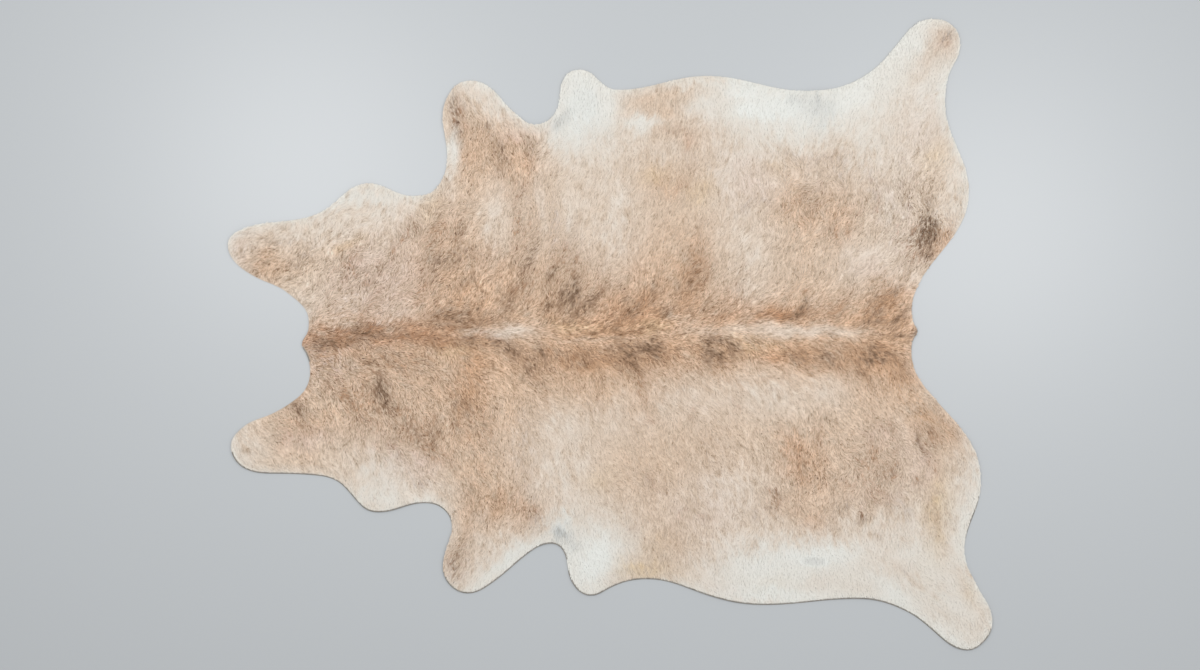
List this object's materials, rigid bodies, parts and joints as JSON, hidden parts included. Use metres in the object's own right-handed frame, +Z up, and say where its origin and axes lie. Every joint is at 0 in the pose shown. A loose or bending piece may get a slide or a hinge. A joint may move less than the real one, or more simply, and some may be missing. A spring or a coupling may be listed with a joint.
{
  "type": "cowhide rug",
  "caption": "Flat hair-on cattle hide used as a floor rug, with neck, leg and tail outline and brindle hair.",
  "frame": {"origin": "centre of the hide's bounding box, on the floor that it lies on", "axes": "+X along the spine from the neck to the tail, +Y across the hide to the upper side of the picture, +Z up from the floor"},
  "size_m": [2.2, 1.816, 0.0114],
  "materials": {
    "hide": "short soft cream and tan brindle hair, matt, on undyed suede"
  },
  "bodies": {
    "root": {"hide": "hide"}
  },
  "joints": []
}
